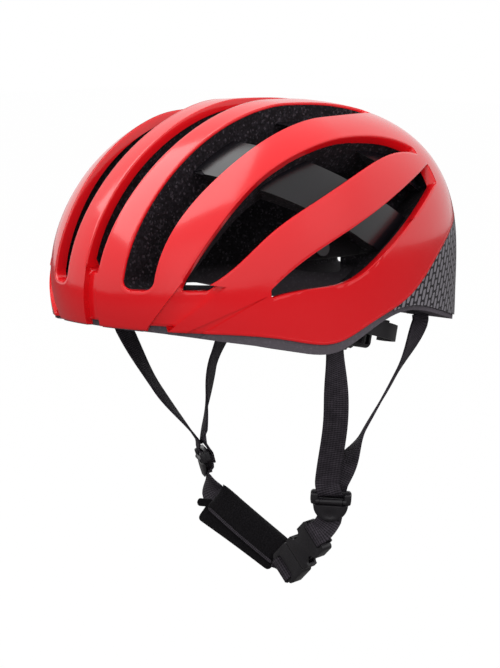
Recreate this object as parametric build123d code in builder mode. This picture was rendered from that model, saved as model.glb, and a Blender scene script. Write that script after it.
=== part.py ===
"""Road cycling helmet: in-mould shell, EPS liner, dial retention and chin straps.

Frame: millimetres, +Z up, the helmet faces -Y, the wearer's left is +X.  The origin is the
centre of the head opening, on the plane of the forehead band.
"""
from build123d import *
from math import atan2, cos, degrees, hypot, pi, radians, sin
import os

os.makedirs("parts", exist_ok=True)

# ---------------------------------------------------------------- driving dimensions
# outer form, measured from the equator plane
FRONT_REACH = 139.0
REAR_REACH = 148.0
HALF_WIDTH = 105.0
CROWN_RISE = 103.0
EQUATOR_Z = 32.0
TUCK_DEPTH = 150.0
FRONT_POWER = 1.75
REAR_POWER = 2.6
SIDE_POWER = 2.6
ROUND = 0.5523
TAIL_FULLNESS = 0.64
FORM_FLOOR_Z = -16.0
LEVEL_ANGLES = (0, 13, 26, 38, 50, 61, 71, 79, 85, 88.2)
# foam between the outer form and the head cavity
FRONT_WALL = 36.0
REAR_WALL = 42.0
SIDE_WALL = 23.0
CROWN_WALL = 29.0
CAVITY_FRONT = FRONT_REACH - FRONT_WALL
CAVITY_REAR = REAR_REACH - REAR_WALL
CAVITY_SIDE = HALF_WIDTH - SIDE_WALL
CAVITY_RISE = CROWN_RISE - CROWN_WALL
STRAIGHT = 100000.0
# shells
SKIN = 1.0
RIM_SHOW = 3.0
# bridges across the vents
BRIDGE_DROP = 11.0
BRIDGE_TILT = 29.0
FRONT_BRIDGE_AT = 62.0
FRONT_BRIDGE_WIDTH = 30.0
REAR_BRIDGE_AT = 112.0
REAR_BRIDGE_WIDTH = 20.0
BRIDGE_END_Y = 70.0
REAR_SHELL_START_Y = 12.0
# vents
VENT_FLOOR_Z = 33.0
CENTRE_VENT_FLOOR_Z = 41.0
VENT_CORNER = 1.6
VENT_NOSE_Y = 60.0
CENTRE_END_ROUND = 3.5
INNER_END_ROUND = 6.0
VENT_REACH = 70.0
BIG = 400.0
# brow troughs that run from a vent down to the brim
CENTRE_TROUGH_DEPTH = 4.0
BROW_TROUGH_DEPTH = 3.0
CHEEK_CREASE_DEPTH = 1.2
BRIM_NOTCH_RISE = 3.0
# comfort pads
PAD_GAP = 1.0
PAD_THICK = 5.0
BROW_PAD_THICK = 6.0
BROW_PAD_BELOW = 2.0
BROW_PAD_ABOVE = 3.0
DOT_R = 5.0
CROWN_PAD_X = 20.0
CROWN_PAD_Y = -10.0
CROWN_PAD_LONG = 96.0
CROWN_PAD_WIDE = 15.0
SIDE_PAD_Z = 52.0
SIDE_PAD_LONG = 80.0
SIDE_PAD_WIDE = 16.0
BROW_PAD_END_Y = -58.0
# forehead band
BAND_GAP = 0.2
BAND_THICK = 1.5
BAND_LOW_Z = 9.0
BAND_TALL = 14.0
BAND_END_Y = -28.0
# retention: temple pins, arms, racks and dial
TEMPLE_Y = -18.0
TEMPLE_Z = 10.0
PIN_R = 2.6
PIN_HEAD_R = 5.0
PIN_LENGTH = 12.0
PIN_EMBED = 6.0
PIN_HEAD_THICK = 1.5
RUN_FIT = 0.08
CRADLE_SLOPE = 14.5
ARM_X = CAVITY_SIDE - 5.0
ARM_THICK = 2.0
ARM_TALL = 10.0
ARM_STRAIGHT = 30.0
RACK_Y = CAVITY_REAR - 2.0
EYE_R = 7.0
MODULE = 0.8
PINION_TEETH = 12
RACK_DEEP = 3.0
HOUSING_LONG = 58.0
HOUSING_WALL = 2.0
HOUSING_HALF_TALL = 11.0
HOUSING_CORNER = 4.0
RACK_PLAY = 0.25
RACK_BACK = 2.6
RACK_TEETH = 13
RACK_TEETH_SHIFT = 2.5
TOOTH_FLANK = 72.0
RACK_TOOTH_SHARE = 0.6
RACK_TOOTH_TALL = 2.2
PINION_TOOTH_SHARE = 0.55
PINION_TOOTH_TALL = 2.3
PINION_TOOTH_ROOT = 1.4
GEAR_ROOT = 1.25
RACK_REACH = 13.0
ARM_BOW_X = 60.0
ARM_BOW_Y = 70.0
FOOT_X = 37.0
FOOT_LONG = 6.0
NECK_PAD_THICK = 4.0
NECK_PAD_INSET = 1.5
KNOB_R = 14.0
KNOB_THICK = 8.0
KNOB_GRIPS = 16
KNOB_GRIP_R = 2.0
KNOB_GRIP_OUT = 0.9
AXLE_HEAD_THICK = 1.5
AXLE_R = 2.0
# webbing and hardware
WEB_WIDTH = 15.0
WEB_THICK = 1.4
SEAM = 0.3
STRAIGHT_IN = 6.0
CHIN_STRAIGHT = 3.0
SWING_GAP = 0.9
ANCHOR_FRONT_IN = 17.0
ANCHOR_FRONT_Y = -24.0
ANCHOR_FRONT_Z = 1.0
ANCHOR_REAR_IN = 27.0
ANCHOR_REAR_Y = 72.0
ANCHOR_REAR_Z = 5.0
SWING_DROP = 8.0
ANCHOR_LONG = 20.0
ANCHOR_WIDE = 6.0
ANCHOR_TALL = 5.0
ANCHOR_RIM = 1.0
STRAP_SLOT = 3.0
SPLITTER_LONG = 17.0
SPLITTER_WIDE = 25.0
SPLITTER_HEAD_LONG = 8.0
SPLITTER_TIP_R = 6.0
SPLITTER_THICK = 3.0
SPLITTER_CORNER = 2.0
SPLITTER_BAR = 2.0
WEB_SLOT = 2.4
EAR_LONG = 3.4
EAR_THICK = 2.0
KNUCKLE_R = 1.7
LEVER_THICK = 1.8
LEVER_WIDE = 14.0
LEVER_MARGIN = 1.0
HINGE_R = 1.0
BUCKLE_WIDE = 22.0
BUCKLE_THICK = 8.0
SOCKET_LONG = 25.0
PLUG_LONG = 17.0
TONGUE_LONG = 17.0
TONGUE_WIDE = 3.0
TONGUE_ROOT = 1.5
TONGUE_CORNER = 1.0
PRONG_WIDE = 3.4
PRONG_AT = 6.2
BUCKLE_CORNER = 2.5
WINDOW_X = 10.0
WINDOW_LONG = 9.0
WINDOW_DEEP = 4.0
PLUG_SLOT = 4.0
BUCKLE_WALL = 1.6
CLEAR = 0.4
CHIN_PAD_WIDE = 20.0
CHIN_PAD_THICK = 7.0
CHIN_PAD_PLAY = 1.4
CHIN_END_GAP = 2.2

RACK_PITCH_R = MODULE * PINION_TEETH / 2


# ---------------------------------------------------------------- shared forms
def reach(height, power):
    """Share of a half-width that a superellipse keeps at a height from 0 to 1."""
    return max(1 - abs(height) ** power, 0) ** (1 / power)


def head_form(front, rear, side, rise, fullness, tuck=TUCK_DEPTH):
    """Solid dome of stacked ovals, round in front and fuller behind, up to the crown."""
    below = [FORM_FLOOR_Z, (FORM_FLOOR_Z + EQUATOR_Z) / 2]
    levels = [(z, (EQUATOR_Z - z) / tuck) for z in below]
    for angle in LEVEL_ANGLES:
        height = sin(radians(angle))
        levels.append((EQUATOR_Z + rise * height, height))
    with BuildPart() as form:
        for z, height in levels:
            flank = side * reach(height, SIDE_POWER)
            ends = ((-front * reach(height, FRONT_POWER), ROUND),
                    (rear * reach(height, REAR_POWER), fullness))
            with BuildSketch(Plane.XY.offset(z)):
                with BuildLine():
                    for end, square in ends:
                        for x in (flank, -flank):
                            Bezier((x, 0), (x, end * square), (x * square, end), (0, end))
                make_face()
        loft()
    return form.part


def outer_form(inset):
    """The helmet's outer form, moved inwards by inset."""
    return head_form(FRONT_REACH - inset, REAR_REACH - inset, HALF_WIDTH - inset,
                     CROWN_RISE - inset, TAIL_FULLNESS)


def cavity_form(inset):
    """The head cavity, made smaller by inset."""
    return head_form(CAVITY_FRONT - inset, CAVITY_REAR - inset, CAVITY_SIDE - inset,
                     CAVITY_RISE - inset, ROUND, STRAIGHT)


def below_edge(points, lift=0.0):
    """Everything under a side-view edge line, given as (y, z) points."""
    edge = [(y, z + lift) for y, z in points]
    with BuildPart() as under:
        with BuildSketch(Plane.YZ):
            with BuildLine():
                Spline(*edge)
                Polyline(edge[-1], (edge[-1][0], -BIG), (edge[0][0], -BIG), edge[0])
            make_face()
        extrude(amount=BIG, both=True)
    return under.part


RED_EDGE = ((-160, 12), (-122, 10), (-71, 4), (-38, -1), (-13, 7), (30, 21), (61, 40), (84, 52), (160, 56))
LINER_EDGE = ((-160, 10.5), (-122, 8.5), (-100, 4), (-71, -2), (-38, -7), (-13, 2), (20, 11), (62, 5),
              (112, -7), (160, -9))

# ---------------------------------------------------------------- vents
PLAN_VIEW = Plane.XY
SHOULDER_VIEW = Plane(origin=(80, -30, 90), x_dir=(0.12, 0.96, 0.154), z_dir=(0.6, -0.2, 0.77))
FLANK_VIEW = Plane(origin=(102, 0, 50), x_dir=(0.093, 0.99, 0.035), z_dir=(0.93, -0.1, 0.35))
TAIL_VIEW = Plane(origin=(0, 100, 0), x_dir=(-1, 0, 0), z_dir=(0, 1, 0))

CENTRE_VENT = (((4, -150), (7.5, -110), (9, -70), (9.5, -10), (8, 40), (5, 78)),
               ((-4, -150), (-7.5, -110), (-9, -70), (-9.5, -10), (-8, 40), (-5, 78)))
INNER_VENT = (((37, -150), (43, -115), (50, -84), (55, -45), (57, -5), (52, 38), (42, 66)),
              ((21, -150), (23, -110), (24, -75), (26, -37), (29, 0), (32, 38), (37, 66)))
SHOULDER_VENT = (((-98, -10), (-67, 3), (-36, 13), (0, 17.5), (45, 19.5), (80, 17), (96, 13)),
                 ((-98, -17), (-75, -22), (-50, -18), (-17, -14), (20, -7), (60, 4), (96, 8)))
FLANK_VENT = (((-81, -10), (-64, 0), (-32, 12), (0, 23), (35, 36), (74, 50)),
              ((-81, -15), (-56, -15), (-28, -15), (0, -4), (35, 15), (76, 37)))
TAIL_PORT = (((7, 90), (30, 92), (56, 90)), ((7, 72), (30, 71), (58, 68)))
NECK_PORT = (((13, 40), (30, 41), (45, 38)), ((13, 17), (28, 15), (43, 18)))


def vent(view, outline, inward, floor_z, end_round=0.0):
    """Cutter through the helmet wall, its front end rounded, with its mirror twin on the other side."""
    first, second = outline
    with BuildPart() as cutter:
        with BuildSketch(view) as face:
            with BuildLine():
                Spline(*first)
                Spline(*second)
                Line(first[0], second[0])
                Line(first[-1], second[-1])
            make_face()
            fillet(face.vertices(), VENT_CORNER)
        extrude(amount=VENT_REACH * 2)
        if inward:
            extrude(face.sketch, amount=-inward)
        split(bisect_by=Plane.XY.offset(floor_z), keep=Keep.TOP)
        if end_round:
            with BuildPart(mode=Mode.PRIVATE) as nose:
                add(cutter.part)
                split(bisect_by=Plane.XZ.offset(VENT_NOSE_Y), keep=Keep.TOP)
                floor = nose.faces().sort_by(Axis.Z)[0]
                fillet(floor.edges().sort_by(SortBy.LENGTH)[-2:], end_round)
            split(bisect_by=Plane.XZ.offset(VENT_NOSE_Y), keep=Keep.BOTTOM)
            add(nose.part)
        if outline is not CENTRE_VENT:
            mirror(about=Plane.YZ)
    return cutter.part


def all_vents():
    """The seven long vents, the tail ports and the neck ports."""
    return [
        vent(PLAN_VIEW, CENTRE_VENT, 0, CENTRE_VENT_FLOOR_Z, CENTRE_END_ROUND),
        vent(PLAN_VIEW, INNER_VENT, 0, VENT_FLOOR_Z, INNER_END_ROUND),
        vent(SHOULDER_VIEW, SHOULDER_VENT, VENT_REACH, VENT_FLOOR_Z),
        vent(FLANK_VIEW, FLANK_VENT, VENT_REACH / 2, 0),
        vent(TAIL_VIEW, TAIL_PORT, VENT_REACH / 2, 0),
        vent(TAIL_VIEW, NECK_PORT, VENT_REACH / 2, 0),
    ]


BROW_VIEW = Plane(origin=(50, -118, 25), x_dir=(0.88, 0.47, 0), z_dir=(0.47, -0.88, 0))
CENTRE_TROUGH = ((-5, 48), (5, 48), (6, -30), (-6, -30))
BROW_TROUGH = ((3.4, 14.4), (26.9, 11), (-17, -24), (-26, -24))
CHEEK_CREASE = ((49.3, 5.1), (0.6, -24), (-15, -24))


def trough_prism(view, outline, grow):
    """Straight cutter over a trough's outline, with its mirror twin where it lies to one side."""
    with BuildPart() as cutter:
        with BuildSketch(view) as face:
            with BuildLine():
                Polyline(*outline, close=True)
            make_face()
            offset(amount=grow, kind=Kind.INTERSECTION)
        extrude(face.sketch, amount=BIG)
        extrude(face.sketch, amount=-VENT_REACH / 2)
        if view is BROW_VIEW:
            mirror(about=Plane.YZ)
    return cutter.part


def troughs(extra):
    """The centre and brow troughs, deeper and wider by extra."""
    with BuildPart() as sunk:
        add(trough_prism(Plane.XZ.offset(CAVITY_FRONT), CENTRE_TROUGH, extra))
        add(outer_form(CENTRE_TROUGH_DEPTH + extra), mode=Mode.SUBTRACT)
        add(trough_prism(BROW_VIEW, BROW_TROUGH, extra) - outer_form(BROW_TROUGH_DEPTH + extra))
        add(trough_prism(BROW_VIEW, CHEEK_CREASE, extra) - outer_form(CHEEK_CREASE_DEPTH + extra))
    return sunk.part


def bridge_zone(at, width):
    """Tilted slab across the vents, kept in front of the tail ports."""
    tilt = radians(BRIDGE_TILT)
    level = Plane(origin=(0, at * sin(tilt), at * cos(tilt)), x_dir=(1, 0, 0),
                  z_dir=(0, sin(tilt), cos(tilt)))
    with BuildPart(level) as slab:
        Box(BIG, BIG, width)
        split(bisect_by=Plane.XZ.offset(-BRIDGE_END_Y), keep=Keep.TOP)
    return slab.part


def band_between(low, high):
    """Level slab between two heights."""
    with BuildPart() as slab:
        with BuildSketch(Plane.XY.offset(low)):
            Rectangle(BIG, BIG)
        extrude(amount=high - low)
    return slab.part


def save(piece, name):
    """Label a finished piece and write its STEP file."""
    piece.label = name
    export_step(piece, f"parts/{name}.step")


# middle of each webbing anchor in the liner: left front, left rear, and their mirror twins
ANCHOR_FRONT_X = HALF_WIDTH - ANCHOR_FRONT_IN
ANCHOR_REAR_X = HALF_WIDTH - ANCHOR_REAR_IN
ANCHORS = ((ANCHOR_FRONT_X, ANCHOR_FRONT_Y, ANCHOR_FRONT_Z), (ANCHOR_REAR_X, ANCHOR_REAR_Y, ANCHOR_REAR_Z),
           (-ANCHOR_FRONT_X, ANCHOR_FRONT_Y, ANCHOR_FRONT_Z), (-ANCHOR_REAR_X, ANCHOR_REAR_Y, ANCHOR_REAR_Z))

# ---------------------------------------------------------------- shells, bridges and liner
outer = outer_form(0) - troughs(0)
bonded = outer_form(SKIN) - troughs(SKIN)
bridge_top = outer_form(BRIDGE_DROP)
bridge_core = outer_form(BRIDGE_DROP + SKIN)
head_space = cavity_form(0)
under_red = below_edge(RED_EDGE)
under_liner = below_edge(LINER_EDGE)
under_black = below_edge(LINER_EDGE, RIM_SHOW)

with BuildPart() as vents:
    for cutter in all_vents():
        add(cutter)

with BuildPart() as bridges:
    add(bridge_zone(FRONT_BRIDGE_AT, FRONT_BRIDGE_WIDTH))
    add(bridge_zone(REAR_BRIDGE_AT, REAR_BRIDGE_WIDTH))
    add(bridge_core, mode=Mode.INTERSECT)

with BuildPart() as skin:
    add(outer)
    add(bonded, mode=Mode.SUBTRACT)

with BuildPart() as wall:
    add(skin.part)
    add(vents.part, mode=Mode.SUBTRACT)

with BuildPart() as brim_notches:
    add(trough_prism(Plane.XZ.offset(CAVITY_FRONT), CENTRE_TROUGH, 0))
    add(trough_prism(BROW_VIEW, BROW_TROUGH, 0))
    add(below_edge(RED_EDGE, BRIM_NOTCH_RISE), mode=Mode.INTERSECT)

with BuildPart() as top_shell:
    add(wall.part)
    add(under_red, mode=Mode.SUBTRACT)
    add(brim_notches.part, mode=Mode.SUBTRACT)
save(top_shell.part, "top_shell")

with BuildPart() as rear_shell:
    add(wall.part)
    add(under_red, mode=Mode.INTERSECT)
    add(under_black, mode=Mode.SUBTRACT)
    split(bisect_by=Plane.XZ.offset(-REAR_SHELL_START_Y), keep=Keep.BOTTOM)
save(rear_shell.part, "rear_shell")

with BuildPart() as foam_liner:
    add(bonded)
    add(head_space, mode=Mode.SUBTRACT)
    add(under_liner, mode=Mode.SUBTRACT)
    for cutter in all_vents():
        add(cutter - bridges.part, mode=Mode.SUBTRACT)
    with Locations(*ANCHORS):
        Box(ANCHOR_WIDE, ANCHOR_LONG, ANCHOR_TALL, mode=Mode.SUBTRACT)
        Box(STRAP_SLOT, ANCHOR_LONG - 2 * ANCHOR_RIM, 4 * ANCHOR_TALL,
            align=(Align.CENTER, Align.CENTER, Align.MAX),
            mode=Mode.SUBTRACT)
    with BuildSketch(Plane.YZ):
        with Locations((TEMPLE_Y, TEMPLE_Z)):
            Circle(PIN_R)
    extrude(amount=CAVITY_SIDE + PIN_EMBED, both=True, mode=Mode.SUBTRACT)
save(foam_liner.part, "foam_liner")

for name, at, width in (("front_bridge_panels", FRONT_BRIDGE_AT, FRONT_BRIDGE_WIDTH),
                        ("rear_bridge_panels", REAR_BRIDGE_AT, REAR_BRIDGE_WIDTH)):
    with BuildPart() as panels:
        add(bridge_top)
        add(bridge_core, mode=Mode.SUBTRACT)
        add(bridge_zone(at, width), mode=Mode.INTERSECT)
        add(vents.part, mode=Mode.INTERSECT)
    save(panels.part, name)

# ---------------------------------------------------------------- pads and forehead band
band_face = cavity_form(BAND_GAP + BAND_THICK)

with BuildPart() as front_band:
    add(cavity_form(BAND_GAP))
    add(band_face, mode=Mode.SUBTRACT)
    add(band_between(BAND_LOW_Z, BAND_LOW_Z + BAND_TALL), mode=Mode.INTERSECT)
    split(bisect_by=Plane.XZ.offset(-BAND_END_Y), keep=Keep.TOP)
save(front_band.part, "front_band")

with BuildPart() as brow_pad:
    add(band_face)
    add(cavity_form(BAND_GAP + BAND_THICK + BROW_PAD_THICK), mode=Mode.SUBTRACT)
    add(band_between(BAND_LOW_Z - BROW_PAD_BELOW, BAND_LOW_Z + BAND_TALL + BROW_PAD_ABOVE),
        mode=Mode.INTERSECT)
    split(bisect_by=Plane.XZ.offset(-BROW_PAD_END_Y), keep=Keep.TOP)
save(brow_pad.part, "brow_pad")

with BuildPart() as pad_layer:
    add(cavity_form(PAD_GAP))
    add(cavity_form(PAD_GAP + PAD_THICK), mode=Mode.SUBTRACT)

with BuildPart() as crown_pads:
    with BuildSketch(Plane.XY.offset(EQUATOR_Z)):
        with Locations((CROWN_PAD_X, CROWN_PAD_Y), (-CROWN_PAD_X, CROWN_PAD_Y)):
            SlotOverall(CROWN_PAD_LONG, CROWN_PAD_WIDE, rotation=90)
    extrude(amount=CROWN_RISE)
    add(pad_layer.part, mode=Mode.INTERSECT)
save(crown_pads.part, "crown_pads")

with BuildPart() as side_pads:
    with BuildSketch(Plane.YZ):
        with Locations((0, SIDE_PAD_Z)):
            SlotOverall(SIDE_PAD_LONG, SIDE_PAD_WIDE)
    extrude(amount=HALF_WIDTH, both=True)
    add(pad_layer.part, mode=Mode.INTERSECT)
save(side_pads.part, "side_pads")

with BuildPart() as hook_dots:
    with BuildSketch(Plane.XY.offset(EQUATOR_Z)):
        with Locations((0, CROWN_PAD_Y)):
            with GridLocations(2 * CROWN_PAD_X, CROWN_PAD_LONG - 2 * CROWN_PAD_WIDE, 2, 2):
                Circle(DOT_R)
    extrude(amount=CROWN_RISE)
    with BuildSketch(Plane.YZ):
        with Locations((0, SIDE_PAD_Z)):
            with GridLocations(SIDE_PAD_LONG - 2 * SIDE_PAD_WIDE, 0, 2, 1):
                Circle(DOT_R)
    extrude(amount=HALF_WIDTH, both=True)
    add(head_space, mode=Mode.INTERSECT)
    add(cavity_form(PAD_GAP), mode=Mode.SUBTRACT)
save(hook_dots.part, "hook_dots")

with BuildPart() as temple_pins:
    with BuildSketch(Plane.YZ.offset(CAVITY_SIDE - PIN_LENGTH)):
        with Locations((TEMPLE_Y, TEMPLE_Z)):
            Circle(PIN_R)
    extrude(amount=PIN_LENGTH + PIN_EMBED)
    with BuildSketch(Plane.YZ.offset(CAVITY_SIDE - PIN_LENGTH)):
        with Locations((TEMPLE_Y, TEMPLE_Z)):
            Circle(PIN_HEAD_R)
    extrude(amount=-PIN_HEAD_THICK)
    mirror(about=Plane.YZ)
save(temple_pins.part, "temple_pins")

# ---------------------------------------------------------------- retention: racks, housing, dial
SLOPE = radians(CRADLE_SLOPE)
CRADLE = Plane(origin=(0, TEMPLE_Y, TEMPLE_Z), x_dir=(1, 0, 0), z_dir=(0, sin(SLOPE), cos(SLOPE)))


def cradle_section(y):
    """Sketch plane across the rack channel: local x along the racks, y up the housing."""
    spot = CRADLE.from_local_coords(Vector(0, y, 0))
    return Plane(origin=spot, x_dir=(1, 0, 0), z_dir=-CRADLE.y_dir)


RACK_LOW = RACK_PITCH_R + GEAR_ROOT * MODULE
RACK_HIGH = RACK_LOW + RACK_BACK
TOOTH_PITCH = pi * MODULE
ARM_LOW_Z = -ARM_TALL / 2
CHANNEL_HALF = RACK_DEEP / 2 + RACK_PLAY

with BuildPart() as left_arm:
    with BuildSketch(CRADLE.offset(ARM_LOW_Z)):
        with BuildLine() as run:
            Line((ARM_X, 0), (ARM_X, ARM_STRAIGHT))
            Bezier((ARM_X, ARM_STRAIGHT), (ARM_X, ARM_BOW_Y), (ARM_BOW_X, RACK_Y), (FOOT_X, RACK_Y))
        trace(run.line, line_width=ARM_THICK)
    extrude(amount=ARM_TALL)
    with BuildSketch(Plane(origin=CRADLE.origin, x_dir=CRADLE.y_dir, z_dir=(1, 0, 0)).offset(ARM_X)):
        Circle(EYE_R)
    extrude(amount=ARM_THICK / 2, both=True)
    with BuildSketch(Plane(origin=CRADLE.origin, x_dir=CRADLE.y_dir, z_dir=(1, 0, 0)).offset(ARM_X)):
        Circle(PIN_R + RUN_FIT)
    extrude(amount=ARM_THICK * 2, both=True, mode=Mode.SUBTRACT)
    with BuildSketch(cradle_section(RACK_Y)):
        with BuildLine():
            Polyline((FOOT_X + FOOT_LONG, ARM_LOW_Z), (FOOT_X + FOOT_LONG, RACK_HIGH),
                     (-RACK_REACH, RACK_HIGH), (-RACK_REACH, RACK_LOW), (FOOT_X, RACK_LOW),
                     (FOOT_X, ARM_LOW_Z), close=True)
        make_face()
        with Locations((RACK_TEETH_SHIFT * TOOTH_PITCH, RACK_LOW)):
            with GridLocations(TOOTH_PITCH, 0, RACK_TEETH, 1):
                Trapezoid(TOOTH_PITCH * RACK_TOOTH_SHARE, RACK_TOOTH_TALL * MODULE, TOOTH_FLANK, rotation=180,
                          align=(Align.CENTER, Align.MIN))
    extrude(amount=RACK_DEEP / 2, both=True)
save(left_arm.part, "left_arm")

with BuildPart() as right_arm:
    add(left_arm.part.rotate(Axis(CRADLE.origin, CRADLE.y_dir), 180))
save(right_arm.part, "right_arm")

with BuildPart() as dial_housing:
    with BuildSketch(cradle_section(RACK_Y)):
        RectangleRounded(HOUSING_LONG, 2 * HOUSING_HALF_TALL, HOUSING_CORNER)
    extrude(amount=CHANNEL_HALF + HOUSING_WALL)
    with BuildSketch(cradle_section(RACK_Y + CHANNEL_HALF)):
        RectangleRounded(HOUSING_LONG, 2 * HOUSING_HALF_TALL, HOUSING_CORNER)
    extrude(amount=2 * CHANNEL_HALF)
    with BuildSketch(cradle_section(RACK_Y + CHANNEL_HALF)):
        Rectangle(HOUSING_LONG, 2 * (RACK_HIGH + RACK_PLAY))
    extrude(amount=2 * CHANNEL_HALF, mode=Mode.SUBTRACT)
    with BuildSketch(cradle_section(RACK_Y)):
        Circle(AXLE_R + RUN_FIT)
    extrude(amount=CHANNEL_HALF + HOUSING_WALL / 2, mode=Mode.SUBTRACT)
save(dial_housing.part, "dial_housing")

with BuildPart() as dial_cover:
    with BuildSketch(cradle_section(RACK_Y + CHANNEL_HALF)):
        RectangleRounded(HOUSING_LONG, 2 * HOUSING_HALF_TALL, HOUSING_CORNER)
        Circle(AXLE_R + RUN_FIT, mode=Mode.SUBTRACT)
    extrude(amount=-HOUSING_WALL)
save(dial_cover.part, "dial_cover")

with BuildPart() as neck_pad:
    with BuildSketch(cradle_section(RACK_Y - CHANNEL_HALF - HOUSING_WALL)):
        RectangleRounded(HOUSING_LONG - 2 * NECK_PAD_INSET, 2 * (HOUSING_HALF_TALL - NECK_PAD_INSET),
                         HOUSING_CORNER)
    extrude(amount=NECK_PAD_THICK)
save(neck_pad.part, "neck_pad")

KNOB_Y = RACK_Y + CHANNEL_HALF + HOUSING_WALL + CLEAR

with BuildPart() as dial_knob:
    with BuildSketch(cradle_section(KNOB_Y)):
        Circle(KNOB_R)
        with PolarLocations(KNOB_R + KNOB_GRIP_OUT, KNOB_GRIPS):
            Circle(KNOB_GRIP_R, mode=Mode.SUBTRACT)
        Circle(AXLE_R, mode=Mode.SUBTRACT)
    extrude(amount=-KNOB_THICK)
save(dial_knob.part, "dial_knob")

with BuildPart() as dial_pinion:
    with BuildSketch(cradle_section(RACK_Y)):
        Circle(RACK_PITCH_R - GEAR_ROOT * MODULE)
        with PolarLocations(RACK_PITCH_R - PINION_TOOTH_ROOT * MODULE, PINION_TEETH, start_angle=90):
            Trapezoid(TOOTH_PITCH * PINION_TOOTH_SHARE, PINION_TOOTH_TALL * MODULE, TOOTH_FLANK, rotation=-90,
                      align=(Align.CENTER, Align.MIN))
        Circle(AXLE_R, mode=Mode.SUBTRACT)
    extrude(amount=RACK_DEEP / 2, both=True)
save(dial_pinion.part, "dial_pinion")

with BuildPart() as dial_axle:
    with BuildSketch(cradle_section(KNOB_Y + KNOB_THICK)):
        Circle(AXLE_R)
    extrude(amount=KNOB_THICK + (KNOB_Y - RACK_Y) + CHANNEL_HALF + HOUSING_WALL / 2 - RUN_FIT)
    with BuildSketch(cradle_section(KNOB_Y + KNOB_THICK)):
        Circle(AXLE_R * 2)
    extrude(amount=-AXLE_HEAD_THICK)
save(dial_axle.part, "dial_axle")

# ---------------------------------------------------------------- straps, splitters and buckle
FORWARD_LEFT = (0.65, -0.74, 0.1)
SWING_FRONT = Vector(*ANCHORS[2]) - Vector(0, 0, SWING_DROP)
SWING_REAR = Vector(*ANCHORS[3]) - Vector(0, 0, SWING_DROP)
SWING_AXIS = (SWING_REAR - SWING_FRONT).normalized()
BUCKLE_AT = Vector(44, -4, -144)
# the plug leaves its socket square to the swing of the right-hand straps
PLUG_EXIT = SWING_AXIS.cross(BUCKLE_AT - SWING_FRONT).normalized()


def facing(origin, along, outward):
    """Plane with x along a piece and z on the side that looks outward."""
    length = Vector(along).normalized()
    face = Vector(outward) - length * length.dot(Vector(outward))
    return Plane(origin=origin, x_dir=length, z_dir=face.normalized())


def webbing(stations, wide=WEB_WIDTH, thick=WEB_THICK):
    """Flat strap through (point, direction across it) stations."""
    points = [Vector(point) for point, across in stations]
    with BuildPart() as strap:
        for index, (point, across) in enumerate(stations):
            before = points[max(index - 1, 0)]
            after = points[min(index + 1, len(points) - 1)]
            with BuildSketch(Plane(origin=point, x_dir=across, z_dir=after - before)):
                Rectangle(wide, thick)
        loft(ruled=True)
    return strap.part


def strap_splitter(spot, side):
    """Shield plate, hinge pin and lock lever of one strap splitter; x runs down the strap."""
    top_face = SPLITTER_THICK / 2
    pin_x = SPLITTER_BAR + WEB_SLOT + EAR_LONG / 2
    pin_z = top_face + KNUCKLE_R + CLEAR
    tip_x = SPLITTER_LONG - SPLITTER_TIP_R
    across = Plane(origin=spot.from_local_coords(Vector(pin_x, 0, pin_z)), x_dir=spot.x_dir,
                   z_dir=-spot.y_dir)
    with BuildPart() as plate:
        with BuildSketch(spot.offset(-top_face)):
            with Locations((SPLITTER_HEAD_LONG / 2, 0)):
                RectangleRounded(SPLITTER_HEAD_LONG, SPLITTER_WIDE, SPLITTER_CORNER)
            with Locations((tip_x, 0)):
                Circle(SPLITTER_TIP_R)
            make_hull()
            with Locations((SPLITTER_BAR + WEB_SLOT / 2, 0)):
                RectangleRounded(WEB_SLOT, SPLITTER_WIDE - 3 * SPLITTER_BAR, WEB_SLOT / 3, mode=Mode.SUBTRACT)
            with Locations((tip_x, 0)):
                RectangleRounded(WEB_SLOT, 2 * SPLITTER_TIP_R - SPLITTER_BAR, WEB_SLOT / 3,
                                 mode=Mode.SUBTRACT)
        extrude(amount=SPLITTER_THICK)
        for face in (1, -1):
            with BuildSketch(across.offset(face * (LEVER_WIDE / 2 + CLEAR))):
                Circle(KNUCKLE_R)
                Rectangle(EAR_LONG, pin_z - top_face / 2, align=(Align.CENTER, Align.MAX))
            extrude(amount=face * EAR_THICK)
        with BuildSketch(across):
            Circle(HINGE_R)
        extrude(amount=SPLITTER_WIDE, both=True, mode=Mode.SUBTRACT)
    with BuildPart() as pin:
        with BuildSketch(across):
            Circle(HINGE_R)
        extrude(amount=LEVER_WIDE / 2 + CLEAR + EAR_THICK, both=True)
    with BuildPart() as lever:
        with BuildSketch(spot.offset(top_face + CLEAR)):
            with Locations((pin_x, 0)):
                Rectangle(SPLITTER_CORNER, LEVER_WIDE, align=(Align.MIN, Align.CENTER))
            with Locations((tip_x - LEVER_MARGIN, 0)):
                Circle(SPLITTER_TIP_R)
            make_hull()
            # nothing of the lever reaches behind its pin, so it clears the plate as it opens
            with Locations((pin_x, 0)):
                Rectangle(SPLITTER_LONG, SPLITTER_WIDE, align=(Align.MAX, Align.CENTER), mode=Mode.SUBTRACT)
        extrude(amount=LEVER_THICK)
        with BuildSketch(across):
            Circle(KNUCKLE_R)
        extrude(amount=LEVER_WIDE / 2, both=True)
        with BuildSketch(across):
            Circle(HINGE_R + RUN_FIT)
        extrude(amount=LEVER_WIDE, both=True, mode=Mode.SUBTRACT)
    save(plate.part, f"{side}_splitter")
    save(pin.part, f"{side}_splitter_pin")
    save(lever.part, f"{side}_splitter_lever")


LEFT_SPLITTER = facing((68, -2, -100), (-0.08, 0, -1), FORWARD_LEFT)
RIGHT_SPLITTER = facing((-43, 3, -90), (0.2, 0.17, -1), (-0.62, -0.78, 0))
for spot, side in ((LEFT_SPLITTER, "left"), (RIGHT_SPLITTER, "right")):
    strap_splitter(spot, side)

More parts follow.
